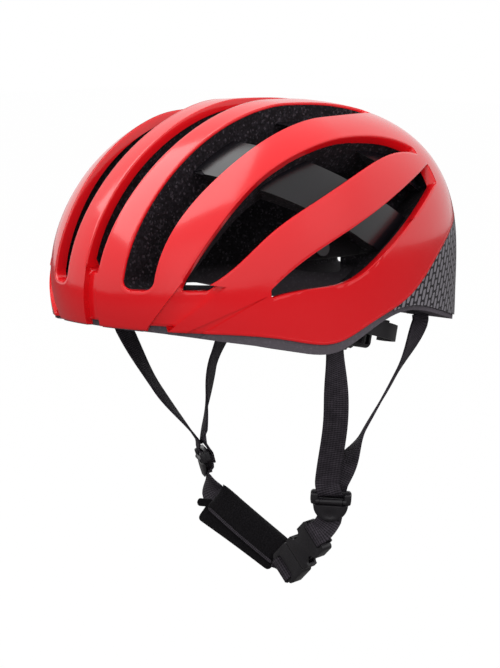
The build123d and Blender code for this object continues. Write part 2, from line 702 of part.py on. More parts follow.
ALONG_Y = (0, 1, 0)
LEFT_LEVEL = LEFT_SPLITTER.y_dir
RIGHT_LEVEL = -RIGHT_SPLITTER.y_dir
ANCHOR_DROP = ANCHOR_TALL / 2 + SEAM


def into_splitter(spot, level, aside, layer):
    """Last two stations of a strap that runs straight into a splitter's upper edge."""
    return [(spot.from_local_coords(Vector(x, aside, layer)), level) for x in (-STRAIGHT_IN, -SEAM)]


def under_anchor(number):
    """First two stations of a strap that hangs straight down from an anchor."""
    top = Vector(*ANCHORS[number])
    return [(top - Vector(0, 0, drop), ALONG_Y) for drop in (ANCHOR_DROP, ANCHOR_DROP + STRAIGHT_IN)]


def under_swing(top):
    """First two stations of a strap that hangs from the swing line."""
    return [(top - Vector(0, 0, drop), SWING_AXIS) for drop in (0, STRAIGHT_IN)]


LAYER = WEB_THICK / 2 + SEAM / 2
STRAPS = {
    "left_front_strap": under_anchor(0) + [((80, -13, -52), LEFT_LEVEL)]
    + into_splitter(LEFT_SPLITTER, LEFT_LEVEL, -3, LAYER),
    "left_rear_strap": under_anchor(1) + [((75, 34, -50), (0.4, 0.7, -0.5))]
    + into_splitter(LEFT_SPLITTER, LEFT_LEVEL, 3, -LAYER),
    "right_front_strap": under_swing(SWING_FRONT) + [((-68, -13, -52), (-0.45, 0.89, 0))]
    + into_splitter(RIGHT_SPLITTER, RIGHT_LEVEL, -3, LAYER),
    "right_rear_strap": under_swing(SWING_REAR) + [((-71, 43, -44), (-0.45, 0.89, 0))]
    + into_splitter(RIGHT_SPLITTER, RIGHT_LEVEL, 3, -LAYER),
}
for name, stations in STRAPS.items():
    save(webbing(stations), name)

with BuildPart() as right_strap_roots:
    for number, low in ((2, SWING_FRONT), (3, SWING_REAR)):
        top, below = under_anchor(number)
        add(webbing([top, (low + Vector(0, 0, SWING_GAP), SWING_AXIS)]))
save(right_strap_roots.part, "right_strap_roots")

with BuildPart() as strap_anchors:
    with Locations(*ANCHORS):
        Box(ANCHOR_WIDE, ANCHOR_LONG, ANCHOR_TALL)
save(strap_anchors.part, "strap_anchors")

BUCKLE = facing(BUCKLE_AT, -PLUG_EXIT, (0, -1, 0))
ACROSS_BUCKLE = BUCKLE.y_dir
SOCKET_END = BUCKLE.from_local_coords(Vector(SOCKET_LONG, 0, 0))
PLUG_END = BUCKLE.from_local_coords(Vector(-PLUG_LONG, 0, 0))
STRAP_TAIL = [(SOCKET_END - PLUG_EXIT * x, ACROSS_BUCKLE) for x in (CHIN_STRAIGHT, SEAM)]
LEFT_START = [(LEFT_SPLITTER.from_local_coords(Vector(SPLITTER_LONG + x, 0, 0)), LEFT_LEVEL)
              for x in (SEAM, CHIN_STRAIGHT)]
save(webbing(LEFT_START + STRAP_TAIL), "left_chin_strap")
PAD_TOP = (-33.5, 4.2, -120.4)
PAD_LOW = (24, 3.2, -148)
PAD_ACROSS = (-0.38, -0.5, -0.78)
CHIN_START = [(RIGHT_SPLITTER.from_local_coords(Vector(SPLITTER_LONG + x, 0, 0)), RIGHT_LEVEL)
              for x in (SEAM, CHIN_STRAIGHT)]
CHIN_END = [(PLUG_END + PLUG_EXIT * CHIN_END_GAP, -ACROSS_BUCKLE)]
save(webbing(CHIN_START + [(PAD_TOP, PAD_ACROSS), (PAD_LOW, PAD_ACROSS)] + CHIN_END), "chin_strap")

with BuildPart() as chin_pad:
    add(webbing([(PAD_TOP, PAD_ACROSS), (PAD_LOW, PAD_ACROSS)], CHIN_PAD_WIDE, CHIN_PAD_THICK))
    add(webbing([(PAD_TOP, PAD_ACROSS), (PAD_LOW, PAD_ACROSS)], WEB_WIDTH + CHIN_PAD_PLAY,
                WEB_THICK + CHIN_PAD_PLAY), mode=Mode.SUBTRACT)
save(chin_pad.part, "chin_pad")

with BuildPart() as buckle_socket:
    with BuildSketch(BUCKLE.offset(-BUCKLE_THICK / 2)):
        with Locations((SOCKET_LONG / 2, 0)):
            RectangleRounded(SOCKET_LONG, BUCKLE_WIDE, BUCKLE_CORNER)
        with Locations((SOCKET_LONG - SPLITTER_BAR - WEB_SLOT / 2, 0)):
            RectangleRounded(WEB_SLOT, WEB_WIDTH + CLEAR, WEB_SLOT / 3, mode=Mode.SUBTRACT)
    extrude(amount=BUCKLE_THICK)
    with BuildSketch(BUCKLE.offset(-BUCKLE_THICK / 2 + BUCKLE_WALL)):
        with Locations((TONGUE_LONG / 2, 0)):
            Rectangle(TONGUE_LONG + 2 * CLEAR, BUCKLE_WIDE - 2 * BUCKLE_WALL)
    extrude(amount=BUCKLE_THICK - 2 * BUCKLE_WALL, mode=Mode.SUBTRACT)
    with BuildSketch(BUCKLE.offset(-BUCKLE_THICK / 2 + BUCKLE_WALL)):
        with Locations((WINDOW_X, 0)):
            Rectangle(WINDOW_LONG, BUCKLE_WIDE * 2)
    extrude(amount=BUCKLE_THICK - 2 * BUCKLE_WALL, mode=Mode.SUBTRACT)
    with BuildSketch(BUCKLE.offset(-BUCKLE_THICK / 2)):
        with Locations((WINDOW_X, BUCKLE_WIDE / 2), (WINDOW_X, -BUCKLE_WIDE / 2)):
            Ellipse(WINDOW_LONG / 2, WINDOW_DEEP)
    extrude(amount=BUCKLE_THICK, mode=Mode.SUBTRACT)
save(buckle_socket.part, "buckle_socket")

PRONG_X = CLEAR - PRONG_WIDE / 2
TONGUE_THICK = BUCKLE_THICK - 2 * BUCKLE_WALL - 2 * CLEAR

with BuildPart() as buckle_plug:
    with BuildSketch(BUCKLE.offset(-BUCKLE_THICK / 2)):
        with Locations((-PLUG_LONG / 2 - CLEAR / 2, 0)):
            RectangleRounded(PLUG_LONG - CLEAR, BUCKLE_WIDE, BUCKLE_CORNER)
        with Locations((-PLUG_LONG + SPLITTER_BAR + PLUG_SLOT / 2, 0)):
            RectangleRounded(PLUG_SLOT, WEB_WIDTH + CLEAR, WEB_SLOT / 3, mode=Mode.SUBTRACT)
    extrude(amount=BUCKLE_THICK)
    with BuildSketch(BUCKLE.offset(-TONGUE_THICK / 2 - CLEAR / 2)):
        with Locations((PRONG_X, PRONG_AT), (PRONG_X, -PRONG_AT)):
            Circle(PRONG_WIDE / 2 + CLEAR)
    extrude(amount=TONGUE_THICK + CLEAR, mode=Mode.SUBTRACT)
    with BuildSketch(BUCKLE.offset(-TONGUE_THICK / 2)):
        with Locations((TONGUE_LONG / 2 - TONGUE_ROOT, 0)):
            RectangleRounded(TONGUE_LONG, TONGUE_WIDE, TONGUE_CORNER)
    extrude(amount=TONGUE_THICK)
    with BuildSketch(BUCKLE.offset(-BUCKLE_THICK / 2)):
        with Locations((PRONG_X, PRONG_AT), (PRONG_X, -PRONG_AT)):
            Circle(HINGE_R)
    extrude(amount=BUCKLE_THICK)
save(buckle_plug.part, "buckle_plug")

for name, side in (("buckle_prong_upper", 1), ("buckle_prong_lower", -1)):
    with BuildPart() as prong:
        with BuildSketch(BUCKLE.offset(-TONGUE_THICK / 2)):
            with Locations((PRONG_X, side * PRONG_AT)):
                Circle(PRONG_WIDE / 2)
            with Locations(((TONGUE_LONG - PRONG_WIDE) / 2, side * PRONG_AT)):
                Rectangle(TONGUE_LONG - 2 * CLEAR, PRONG_WIDE)
            with Locations((PRONG_X, side * PRONG_AT)):
                Circle(HINGE_R + RUN_FIT, mode=Mode.SUBTRACT)
        extrude(amount=TONGUE_THICK)
    save(prong.part, name)
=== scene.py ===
"""Road cycling helmet: finishes, webbing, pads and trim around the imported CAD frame."""
from math import cos, pi, radians, sin

import bpy
from mathutils import Matrix, Vector
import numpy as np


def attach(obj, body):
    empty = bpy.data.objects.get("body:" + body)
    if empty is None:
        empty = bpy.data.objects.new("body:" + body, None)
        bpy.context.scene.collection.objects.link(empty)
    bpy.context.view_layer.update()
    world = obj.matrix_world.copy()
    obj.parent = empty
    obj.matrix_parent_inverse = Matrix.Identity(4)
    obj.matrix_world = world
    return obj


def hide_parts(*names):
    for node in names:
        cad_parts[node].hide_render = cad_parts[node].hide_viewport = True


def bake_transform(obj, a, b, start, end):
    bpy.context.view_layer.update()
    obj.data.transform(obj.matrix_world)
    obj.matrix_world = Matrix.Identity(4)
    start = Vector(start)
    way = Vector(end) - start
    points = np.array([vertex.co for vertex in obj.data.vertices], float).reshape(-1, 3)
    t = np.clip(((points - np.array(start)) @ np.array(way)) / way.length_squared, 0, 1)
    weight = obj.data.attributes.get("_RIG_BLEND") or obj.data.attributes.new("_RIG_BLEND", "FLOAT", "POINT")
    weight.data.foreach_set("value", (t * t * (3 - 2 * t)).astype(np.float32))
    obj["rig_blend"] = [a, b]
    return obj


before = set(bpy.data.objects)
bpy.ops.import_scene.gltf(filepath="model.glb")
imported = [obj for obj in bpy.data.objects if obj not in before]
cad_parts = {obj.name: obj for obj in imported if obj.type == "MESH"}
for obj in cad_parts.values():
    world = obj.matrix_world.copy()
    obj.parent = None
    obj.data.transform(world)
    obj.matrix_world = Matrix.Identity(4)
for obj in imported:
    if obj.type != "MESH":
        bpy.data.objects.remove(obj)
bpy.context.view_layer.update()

MM = 0.001

# ---------------------------------------------------------------- camera, stage and light
CAMERA_TURN = radians(41.5)
CAMERA_RISE = radians(9.3)
CAMERA_REACH = 1.4
CAMERA_TARGET = Vector((0, 0, -11 * MM))
LENS = 121
FLOOR_Z = -0.30
FLOOR_GLOW = 1.07
FLOOR_WHITE_SHARE = 0.92
MIRRORED_SHARE = 0.8
ROOM_LIGHT = 0.35


def deselect():
    """Leaves object mode with nothing selected."""
    if bpy.context.object and bpy.context.object.mode != "OBJECT":
        bpy.ops.object.mode_set(mode="OBJECT")
    bpy.ops.object.select_all(action="DESELECT")


def aim(thing, target):
    """Turns a camera or lamp towards a point."""
    thing.rotation_euler = (Vector(target) - thing.location).to_track_quat("-Z", "Y").to_euler()


def add_camera():
    flat = cos(CAMERA_RISE)
    back = Vector((sin(CAMERA_TURN) * flat, -cos(CAMERA_TURN) * flat, sin(CAMERA_RISE)))
    bpy.ops.object.camera_add(location=CAMERA_TARGET + back * CAMERA_REACH)
    camera = bpy.context.object
    camera.name = "camera"
    camera.data.lens = LENS
    camera.data.sensor_width = 36
    camera.data.sensor_fit = "AUTO"
    aim(camera, CAMERA_TARGET)
    bpy.context.scene.camera = camera


def add_softbox(name, place, target, width, height, watts, mirrored=True):
    """One rectangular studio lamp; mirrored says whether glossy surfaces show its reflection."""
    bpy.ops.object.light_add(type="AREA", location=place)
    lamp = bpy.context.object
    lamp.name = name
    lamp.data.shape = "RECTANGLE"
    lamp.data.size = width
    lamp.data.size_y = height
    lamp.data.energy = watts
    lamp.visible_glossy = mirrored
    aim(lamp, target)


# ---------------------------------------------------------------- materials
# width of one band of Blender's wave texture at scale 1
WAVE = pi / 10
BEAD = 1.2 * MM
# heights between which painted floor light turns the foam paler towards the rim, and how far
RIM_FLOOR_LIGHT_FROM = 22 * MM
RIM_FLOOR_LIGHT_FULL = 8 * MM
RIM_FLOOR_LIGHT_SHARE = 0.5
# dash print: the radius it is laid out on, spacing round the back and up it, slope of its columns, and
# how small each dash is in its cell
DASH_GIRTH_RADIUS = 110 * MM
DASH_PITCH = 4.4 * MM
DASH_ROW = 7.6 * MM
DASH_SLANT = 0.35
DASH_NARROWNESS = 90.0
DASH_SHORTNESS = 34.0


def linear(colour):
    """Linear RGBA from an sRGB hex colour."""
    parts = [int(colour[i:i + 2], 16) / 255 for i in (1, 3, 5)]
    return [c / 12.92 if c <= 0.04045 else ((c + 0.055) / 1.055) ** 2.4 for c in parts] + [1.0]


def add_node(material, kind, sockets=None, **settings):
    """Adds one node: settings are its properties, sockets its inputs as values or as (node, output)."""
    tree = material.node_tree
    node = tree.nodes.new(kind)
    for key, value in settings.items():
        setattr(node, key, value)
    for key, value in (sockets or {}).items():
        if isinstance(value, tuple) and isinstance(value[0], bpy.types.Node):
            tree.links.new(value[0].outputs[value[1]], node.inputs[key])
        else:
            node.inputs[key].default_value = value
    return node


def new_material(name, **shader_sockets):
    """A Principled material with its constant sockets set; returns the material and its shader."""
    material = bpy.data.materials.new(name)
    material.use_nodes = True
    shader = material.node_tree.nodes["Principled BSDF"]
    for key, value in shader_sockets.items():
        shader.inputs[key.replace("_", " ")].default_value = value
    return material, shader


def link(material, source, output, shader, socket):
    material.node_tree.links.new(source.outputs[output], shader.inputs[socket])


def calculate(material, operation, *terms):
    """One maths node; each term is a number or a (node, output) pair."""
    return add_node(material, "ShaderNodeMath", dict(enumerate(terms)), operation=operation)


def object_point(material):
    """Object coordinates in metres."""
    return (add_node(material, "ShaderNodeTexCoord"), "Object")


def noise(material, point, across, detail=2.0):
    """Noise with patches about this far across."""
    return add_node(material, "ShaderNodeTexNoise", {"Vector": point, "Scale": 1 / across, "Detail": detail})


def cells(material, point, across, **settings):
    """Packed cells about this far across."""
    return add_node(material, "ShaderNodeTexVoronoi", {"Vector": point, "Scale": 1 / across}, **settings)


def colour_between(material, shader, source, output, first, second):
    """Base colour that runs from the first hex colour to the second as the output goes from 0 to 1."""
    tint = add_node(material, "ShaderNodeMix", {"Factor": (source, output)}, data_type="RGBA")
    tint.inputs["A"].default_value = linear(first)
    tint.inputs["B"].default_value = linear(second)
    link(material, tint, "Result", shader, "Base Color")


def raised(material, shader, source, output, strength, depth):
    """Fine relief from a node's output."""
    bump = add_node(material, "ShaderNodeBump", {"Height": (source, output), "Strength": strength,
                                                 "Distance": depth})
    link(material, bump, "Normal", shader, "Normal")


def gloss_polycarbonate(name, deep, worn, rough=0.16, coat=0.2):
    """Vacuum-formed polycarbonate skin: smooth and glossy, with a faint ripple from the mould."""
    material, shader = new_material(name, Roughness=rough, IOR=1.52, Coat_Weight=coat, Coat_Roughness=0.03)
    point = object_point(material)
    colour_between(material, shader, noise(material, point, 60 * MM), "Fac", deep, worn)
    raised(material, shader, noise(material, point, 9 * MM, 1.0), "Fac", 0.02, 0.5 * MM)
    return material


def bead_foam(name):
    """Moulded EPS: charcoal beads with grey ones scattered among them, made paler at the rim by painted light
    from the floor.
    """
    material, shader = new_material(name, Roughness=0.85, IOR=1.4, Specular_IOR_Level=0.3)
    point = object_point(material)
    beads = cells(material, point, BEAD)
    split = add_node(material, "ShaderNodeSeparateColor", {"Color": (beads, "Color")})
    shade = add_node(material, "ShaderNodeValToRGB", {"Fac": (split, "Red")})
    ramp = shade.color_ramp
    ramp.elements[0].position = 0.0
    ramp.elements[0].color = linear("#0D0C0E")
    ramp.elements[1].position = 1.0
    ramp.elements[1].color = linear("#454147")
    ramp.elements.new(0.5).color = linear("#18161A")
    ramp.elements.new(0.86).color = linear("#262328")
    # painted floor light: near the rim the bead colour is mixed towards a pale grey, standing in for light
    # thrown up from the floor
    place = add_node(material, "ShaderNodeSeparateXYZ", {"Vector": point})
    floor_light_mask = add_node(material, "ShaderNodeMapRange", {"Value": (place, "Z"), "From Min": RIM_FLOOR_LIGHT_FROM,
                                                    "From Max": RIM_FLOOR_LIGHT_FULL, "To Max": RIM_FLOOR_LIGHT_SHARE})
    paler_tone = add_node(material, "ShaderNodeMix", {"Factor": (floor_light_mask, "Result"), "A": (shade, "Color")},
                      data_type="RGBA")
    paler_tone.inputs["B"].default_value = linear("#7C757D")
    link(material, paler_tone, "Result", shader, "Base Color")
    seams = cells(material, point, BEAD, feature="DISTANCE_TO_EDGE")
    raised(material, shader, seams, "Distance", 0.4, 0.4 * MM)
    return material


def moulded_nylon(name, colour, paler_tone, rough):
    """Injection-moulded nylon or acetal: satin black with a fine spark-eroded grain."""
    material, shader = new_material(name, Roughness=rough, IOR=1.5)
    grain = noise(material, object_point(material), 0.8 * MM)
    colour_between(material, shader, grain, "Fac", colour, paler_tone)
    raised(material, shader, grain, "Fac", 0.15, 0.1 * MM)
    return material


def knitted_pad(name):
    """Brushed knit over foam: matt black with a soft sheen and loops about 1 mm apart."""
    material, shader = new_material(name, Roughness=0.95, IOR=1.4, Specular_IOR_Level=0.2, Sheen_Weight=0.06,
                                    Sheen_Roughness=0.5)
    loops = cells(material, object_point(material), 1.0 * MM)
    colour_between(material, shader, loops, "Distance", "#070608", "#19171A")
    raised(material, shader, loops, "Distance", 0.4, 0.3 * MM)
    return material


def woven_webbing(name):
    """Polyester webbing: matt black ribs 1.3 mm apart across the strap, crossed by yarns 1.8 mm apart."""
    material, shader = new_material(name, Roughness=0.7, IOR=1.4, Specular_IOR_Level=0.3)
    spot = (add_node(material, "ShaderNodeTexCoord"), "UV")
    ribs = add_node(material, "ShaderNodeTexWave", {"Vector": spot, "Scale": WAVE / 1.3, "Distortion": 0.4,
                    "Detail": 1.0}, wave_type="BANDS", bands_direction="Y")
    yarns = add_node(material, "ShaderNodeTexWave", {"Vector": spot, "Scale": WAVE / 1.8},
                     wave_type="BANDS", bands_direction="X")
    weave = calculate(material, "MULTIPLY_ADD", (yarns, "Fac"), 0.35, (ribs, "Fac"))
    shade = calculate(material, "MULTIPLY", (weave, "Value"), (noise(material, spot, 6.0, 3.0), "Fac"))
    colour_between(material, shader, shade, "Value", "#131115", "#4E4850")
    raised(material, shader, weave, "Value", 0.6, 0.2 * MM)
    return material


def blackened_steel(name):
    """Drawn steel pin, chemically blackened: a dark metal with a fine mottle."""
    material, shader = new_material(name, Metallic=1.0, Roughness=0.38)
    mottle = noise(material, object_point(material), 0.4 * MM)
    colour_between(material, shader, mottle, "Fac", "#2E2D30", "#454448")
    return material


def dotted_skin(name):
    """Gloss black polycarbonate printed inside with staggered grey dashes, slanting across the back."""
    material, shader = new_material(name, Roughness=0.25, IOR=1.52)
    place = add_node(material, "ShaderNodeSeparateXYZ", {"Vector": object_point(material)})
    turn = calculate(material, "ARCTAN2", (place, "X"), (place, "Y"))
    around = calculate(material, "MULTIPLY", (turn, "Value"), DASH_GIRTH_RADIUS)
    slant = calculate(material, "MULTIPLY_ADD", (place, "Z"), DASH_SLANT, (around, "Value"))
    column = calculate(material, "MULTIPLY", (slant, "Value"), 1 / DASH_PITCH)
    whole = calculate(material, "FLOOR", (column, "Value"))
    across = calculate(material, "FRACT", (column, "Value"))
    row = calculate(material, "MULTIPLY", (place, "Z"), 1 / DASH_ROW)
    stagger = calculate(material, "MULTIPLY_ADD", (whole, "Value"), 0.5, (row, "Value"))
    along = calculate(material, "FRACT", (stagger, "Value"))
    off_x = calculate(material, "SUBTRACT", (across, "Value"), 0.5)
    off_z = calculate(material, "SUBTRACT", (along, "Value"), 0.5)
    far_x = calculate(material, "POWER", (off_x, "Value"), 4.0)
    wide_x = calculate(material, "MULTIPLY", (far_x, "Value"), DASH_NARROWNESS)
    far_z = calculate(material, "POWER", (off_z, "Value"), 4.0)
    reach = calculate(material, "MULTIPLY_ADD", (far_z, "Value"), DASH_SHORTNESS, (wide_x, "Value"))
    dash = calculate(material, "LESS_THAN", (reach, "Value"), 1.0)
    colour_between(material, shader, dash, "Value", "#252227", "#858188")
    return material


SHELL_RED = gloss_polycarbonate("vacuum-formed red polycarbonate", "#E0121B", "#E6161F")
BRIDGE_BLACK = gloss_polycarbonate("vacuum-formed black polycarbonate", "#0C0A0E", "#110F14", 0.25, 0.0)
REAR_DOTTED = dotted_skin("dash-printed black polycarbonate")
LINER_FOAM = bead_foam("moulded EPS, charcoal with grey beads")
NYLON = moulded_nylon("moulded black nylon", "#151317", "#262328", 0.42)
ACETAL = moulded_nylon("moulded black acetal", "#0C0B0E", "#1E1B20", 0.34)
PAD_KNIT = knitted_pad("brushed knit over foam")
WEBBING = woven_webbing("woven polyester webbing")
PIN_STEEL = blackened_steel("blackened steel pin")

FINISHES = {
    "top_shell": SHELL_RED, "rear_shell": REAR_DOTTED, "foam_liner": LINER_FOAM,
    "front_bridge_panels": BRIDGE_BLACK, "rear_bridge_panels": BRIDGE_BLACK,
    "brow_pad": PAD_KNIT, "crown_pads": PAD_KNIT, "side_pads": PAD_KNIT, "neck_pad": PAD_KNIT,
    "chin_pad": PAD_KNIT,
    "left_front_strap": WEBBING, "left_rear_strap": WEBBING, "left_chin_strap": WEBBING,
    "right_front_strap": WEBBING, "right_rear_strap": WEBBING, "right_strap_roots": WEBBING,
    "chin_strap": WEBBING,
    "left_splitter_pin": PIN_STEEL, "right_splitter_pin": PIN_STEEL, "dial_axle": PIN_STEEL,
    "buckle_socket": ACETAL, "buckle_plug": ACETAL,
    "buckle_prong_upper": ACETAL, "buckle_prong_lower": ACETAL,
}


def finish_cad_nodes():
    """Gives every CAD node its material."""
    for name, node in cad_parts.items():
        node.data.materials.clear()
        node.data.materials.append(FINISHES.get(name, NYLON))


def add_floor():
    """Matt floor that the camera sees as white."""
    bpy.ops.mesh.primitive_plane_add(size=12, location=(0, 0, FLOOR_Z))
    floor = bpy.context.object
    floor.name = "floor"
    paper, shader = new_material("matt studio paper", Roughness=0.9)
    shader.inputs["Base Color"].default_value = linear("#757373")
    glow = add_node(paper, "ShaderNodeEmission", {"Strength": FLOOR_GLOW})
    path = add_node(paper, "ShaderNodeLightPath")
    eye = calculate(paper, "MULTIPLY", (path, "Is Camera Ray"), FLOOR_WHITE_SHARE)
    blend = add_node(paper, "ShaderNodeMixShader", {0: (eye, "Value"), 1: (shader, "BSDF"),
                                                    2: (glow, "Emission")})
    output = next(node for node in paper.node_tree.nodes if node.type == "OUTPUT_MATERIAL")
    link(paper, blend, "Shader", output, "Surface")
    floor.data.materials.append(paper)


def add_backdrop():
    """White world for the camera and clear pieces, less in reflections, and dim as a source of light."""
    world = bpy.context.scene.world or bpy.data.worlds.new("studio")
    bpy.context.scene.world = world
    world.use_nodes = True
    world.node_tree.nodes.clear()
    path = add_node(world, "ShaderNodeLightPath")
    mirrored = calculate(world, "MULTIPLY_ADD", (path, "Is Glossy Ray"), MIRRORED_SHARE,
                         (path, "Is Transmission Ray"))
    seen = calculate(world, "MAXIMUM", (path, "Is Camera Ray"), (mirrored, "Value"))
    room = add_node(world, "ShaderNodeBackground", {"Color": (1, 1, 1, 1), "Strength": ROOM_LIGHT})
    white = add_node(world, "ShaderNodeBackground", {"Color": (1, 1, 1, 1)})
    blend = add_node(world, "ShaderNodeMixShader", {0: (seen, "Value"), 1: (room, "Background"),
                                                    2: (white, "Background")})
    add_node(world, "ShaderNodeOutputWorld", {"Surface": (blend, "Shader")})


def add_stage():
    """Pale floor and backdrop, seen as white, and the studio lamps."""
    add_floor()
    add_backdrop()
    add_softbox("overhead softbox", (-0.5, -0.5, 1.6), (0, 0, 0.05), 2.2, 1.8, 30)
    add_softbox("front softbox", (1.0, -1.5, 0.6), (0, 0, 0), 0.9, 1.2, 13, mirrored=False)
    add_softbox("side softbox", (1.6, 0.5, 0.9), (0, 0, 0), 0.8, 1.2, 13, mirrored=False)


# ---------------------------------------------------------------- building pieces
def edit_all():
    """Edit mode with the whole active mesh selected."""
    bpy.ops.object.mode_set(mode="EDIT")
    bpy.ops.mesh.select_all(action="SELECT")


def modify(piece, name, kind, **settings):
    """Adds one modifier to the active piece and applies it."""
    modifier = piece.modifiers.new(name, kind)
    for key, value in settings.items():
        setattr(modifier, key, value)
    bpy.ops.object.modifier_apply(modifier=modifier.name)


def smooth(degrees):
    """Smooth shading across edges flatter than this."""
    bpy.ops.object.shade_smooth_by_angle(angle=radians(degrees))


def merged_copy(node_name, name):
    """New object with a copy of a CAD node's mesh, its doubles merged."""
    deselect()
    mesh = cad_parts[node_name].data.copy()
    mesh.name = name
    piece = bpy.data.objects.new(name, mesh)
    bpy.context.scene.collection.objects.link(piece)
    bpy.context.view_layer.objects.active = piece
    piece.select_set(True)
    edit_all()
    bpy.ops.mesh.remove_doubles(threshold=0.005 * MM)
    bpy.ops.mesh.customdata_custom_splitnormals_clear()
    bpy.ops.object.mode_set(mode="OBJECT")
    return piece


def choose_faces(piece, rule):
    """Edit mode with only the faces that the rule names selected."""
    bpy.ops.object.mode_set(mode="EDIT")
    bpy.ops.mesh.select_mode(type="FACE")
    bpy.ops.mesh.select_all(action="DESELECT")
    bpy.ops.object.mode_set(mode="OBJECT")
    for face in piece.data.polygons:
        face.select = rule(face)
    bpy.ops.object.mode_set(mode="EDIT")


def choose_group(piece, group):
    """Edit mode with only a vertex group's points selected."""
    bpy.ops.object.mode_set(mode="EDIT")
    bpy.ops.mesh.select_mode(type="VERT")
    bpy.ops.mesh.select_all(action="DESELECT")
    piece.vertex_groups.active_index = piece.vertex_groups[group].index
    bpy.ops.object.vertex_group_select()


def finish_piece(piece, body, slot, material, *replaced):
    """Material, body (None where it is blended later), and hides the CAD nodes it stands for; slot is not
    used.
    """
    bpy.ops.object.mode_set(mode="OBJECT")
    piece.data.materials.clear()
    piece.data.materials.append(material)
    if body:
        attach(piece, body)
    if replaced:
        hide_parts(*replaced)
    deselect()


# ---------------------------------------------------------------- turned edges of the red skin
FORM_CENTRE = (0, 5 * MM, 32 * MM)
# a point of the skin this near the liner is on its inner side
SKIN_SIDE = 0.4 * MM
LIP_OUT = 0.35 * MM
# the lip's inner and outer edge, the two steps of its rolled corner and its last step, as scalings of
# the form with the distance each step is laid back
LIP_SHRINK = 0.957
OUTER_SHRINK = 0.991
ROLL_STEPS = ((1.0065, 0.2 * MM), (1.0035, 0.5 * MM))
FLANGE_GROW = 1.006
FLANGE = 1.5 * MM


def resize(share):
    """Scales the selection about the middle of the helmet's form."""
    bpy.ops.transform.resize(value=(share, share, share), center_override=FORM_CENTRE)


def turned_edges(node_name, name, body, slot, material):
    """Rounded edge and turned-in lip round every vent and along the brim of a skin."""
    piece = merged_copy(node_name, name)
    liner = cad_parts["foam_liner"]
    outer = piece.vertex_groups.new(name="outer edge")
    inner = piece.vertex_groups.new(name="inner edge")
    on_liner = {}
    for point in piece.data.vertices:
        near = liner.closest_point_on_mesh(point.co)[1]
        on_liner[point.index] = (near - point.co).length < SKIN_SIDE
    outer.add([i for i, inside in on_liner.items() if not inside], 1.0, "REPLACE")
    inner.add([i for i, inside in on_liner.items() if inside], 1.0, "REPLACE")
    choose_faces(piece, lambda face: len({on_liner[i] for i in face.vertices}) == 1)
    bpy.ops.mesh.delete(type="FACE")
    bpy.ops.mesh.select_all(action="SELECT")
    bpy.ops.transform.shrink_fatten(value=LIP_OUT)
    choose_group(piece, "inner edge")
    resize(LIP_SHRINK)
    choose_group(piece, "outer edge")
    resize(OUTER_SHRINK)
    for lift, back in ROLL_STEPS:
        bpy.ops.mesh.extrude_edges_move()
        resize(lift)
        bpy.ops.transform.shrink_fatten(value=-back)
    bpy.ops.mesh.extrude_edges_move()
    resize(FLANGE_GROW)
    bpy.ops.transform.shrink_fatten(value=-FLANGE)
    bpy.ops.object.mode_set(mode="OBJECT")
    flange = piece.vertex_groups.new(name="flange")
    flange.add([point.index for point in piece.data.vertices if point.select], 1.0, "REPLACE")
    modify(piece, "laid on the skin", "SHRINKWRAP", target=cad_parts[node_name], vertex_group="flange",
           wrap_method="NEAREST_SURFACEPOINT", offset=0)
    smooth(75)
    finish_piece(piece, body, slot, material)


# ---------------------------------------------------------------- gloss skins on the front bridge
# where the bridge crosses the inner slots, in mm either side of the middle and along the helmet
BRIDGE_ASIDE = (14, 64)
BRIDGE_ALONG = (-74, 0)
BRIDGE_UPWARD = 0.25
# a skin stops this far short of the red shell
SHELL_CLEAR = 5 * MM
BRIDGE_SKIN_LIFT = 0.15 * MM
BRIDGE_SKIN = 0.5 * MM


def bridge_skins():
    """Gloss black skin on the foam bridge where it crosses the two inner slots."""
    piece = merged_copy("foam_liner", "inner_bridge_skins")
    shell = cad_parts["top_shell"]

    def off_the_bridge(face):
        x, y = face.center.x / MM, face.center.y / MM
        if not BRIDGE_ASIDE[0] < abs(x) < BRIDGE_ASIDE[1] or not BRIDGE_ALONG[0] < y < BRIDGE_ALONG[1]:
            return True
        near = shell.closest_point_on_mesh(face.center)[1]
        return face.normal.z < BRIDGE_UPWARD or (near - face.center).length < SHELL_CLEAR

    choose_faces(piece, off_the_bridge)
    bpy.ops.mesh.delete(type="FACE")
    bpy.ops.mesh.select_all(action="SELECT")
    bpy.ops.transform.shrink_fatten(value=BRIDGE_SKIN_LIFT)
    bpy.ops.object.mode_set(mode="OBJECT")
    modify(piece, "skin", "SOLIDIFY", thickness=BRIDGE_SKIN, offset=1)
    smooth(40)
    finish_piece(piece, "helmet", "shell_black", BRIDGE_BLACK)


# ---------------------------------------------------------------- webbing
WEB_WIDE = 15 * MM
WEB_THICK = 1.4 * MM
WEB_YARNS = 6
WEB_STEP = 1.6 * MM


def facing(origin, along, outward):
    """Placement with x along a piece and z on the side that looks outward, from millimetres."""
    x = Vector(along).normalized()
    z = (Vector(outward) - x * x.dot(Vector(outward))).normalized()
    turn = Matrix((x, z.cross(x), z)).transposed().to_4x4()
    return Matrix.Translation(Vector(origin) * MM) @ turn


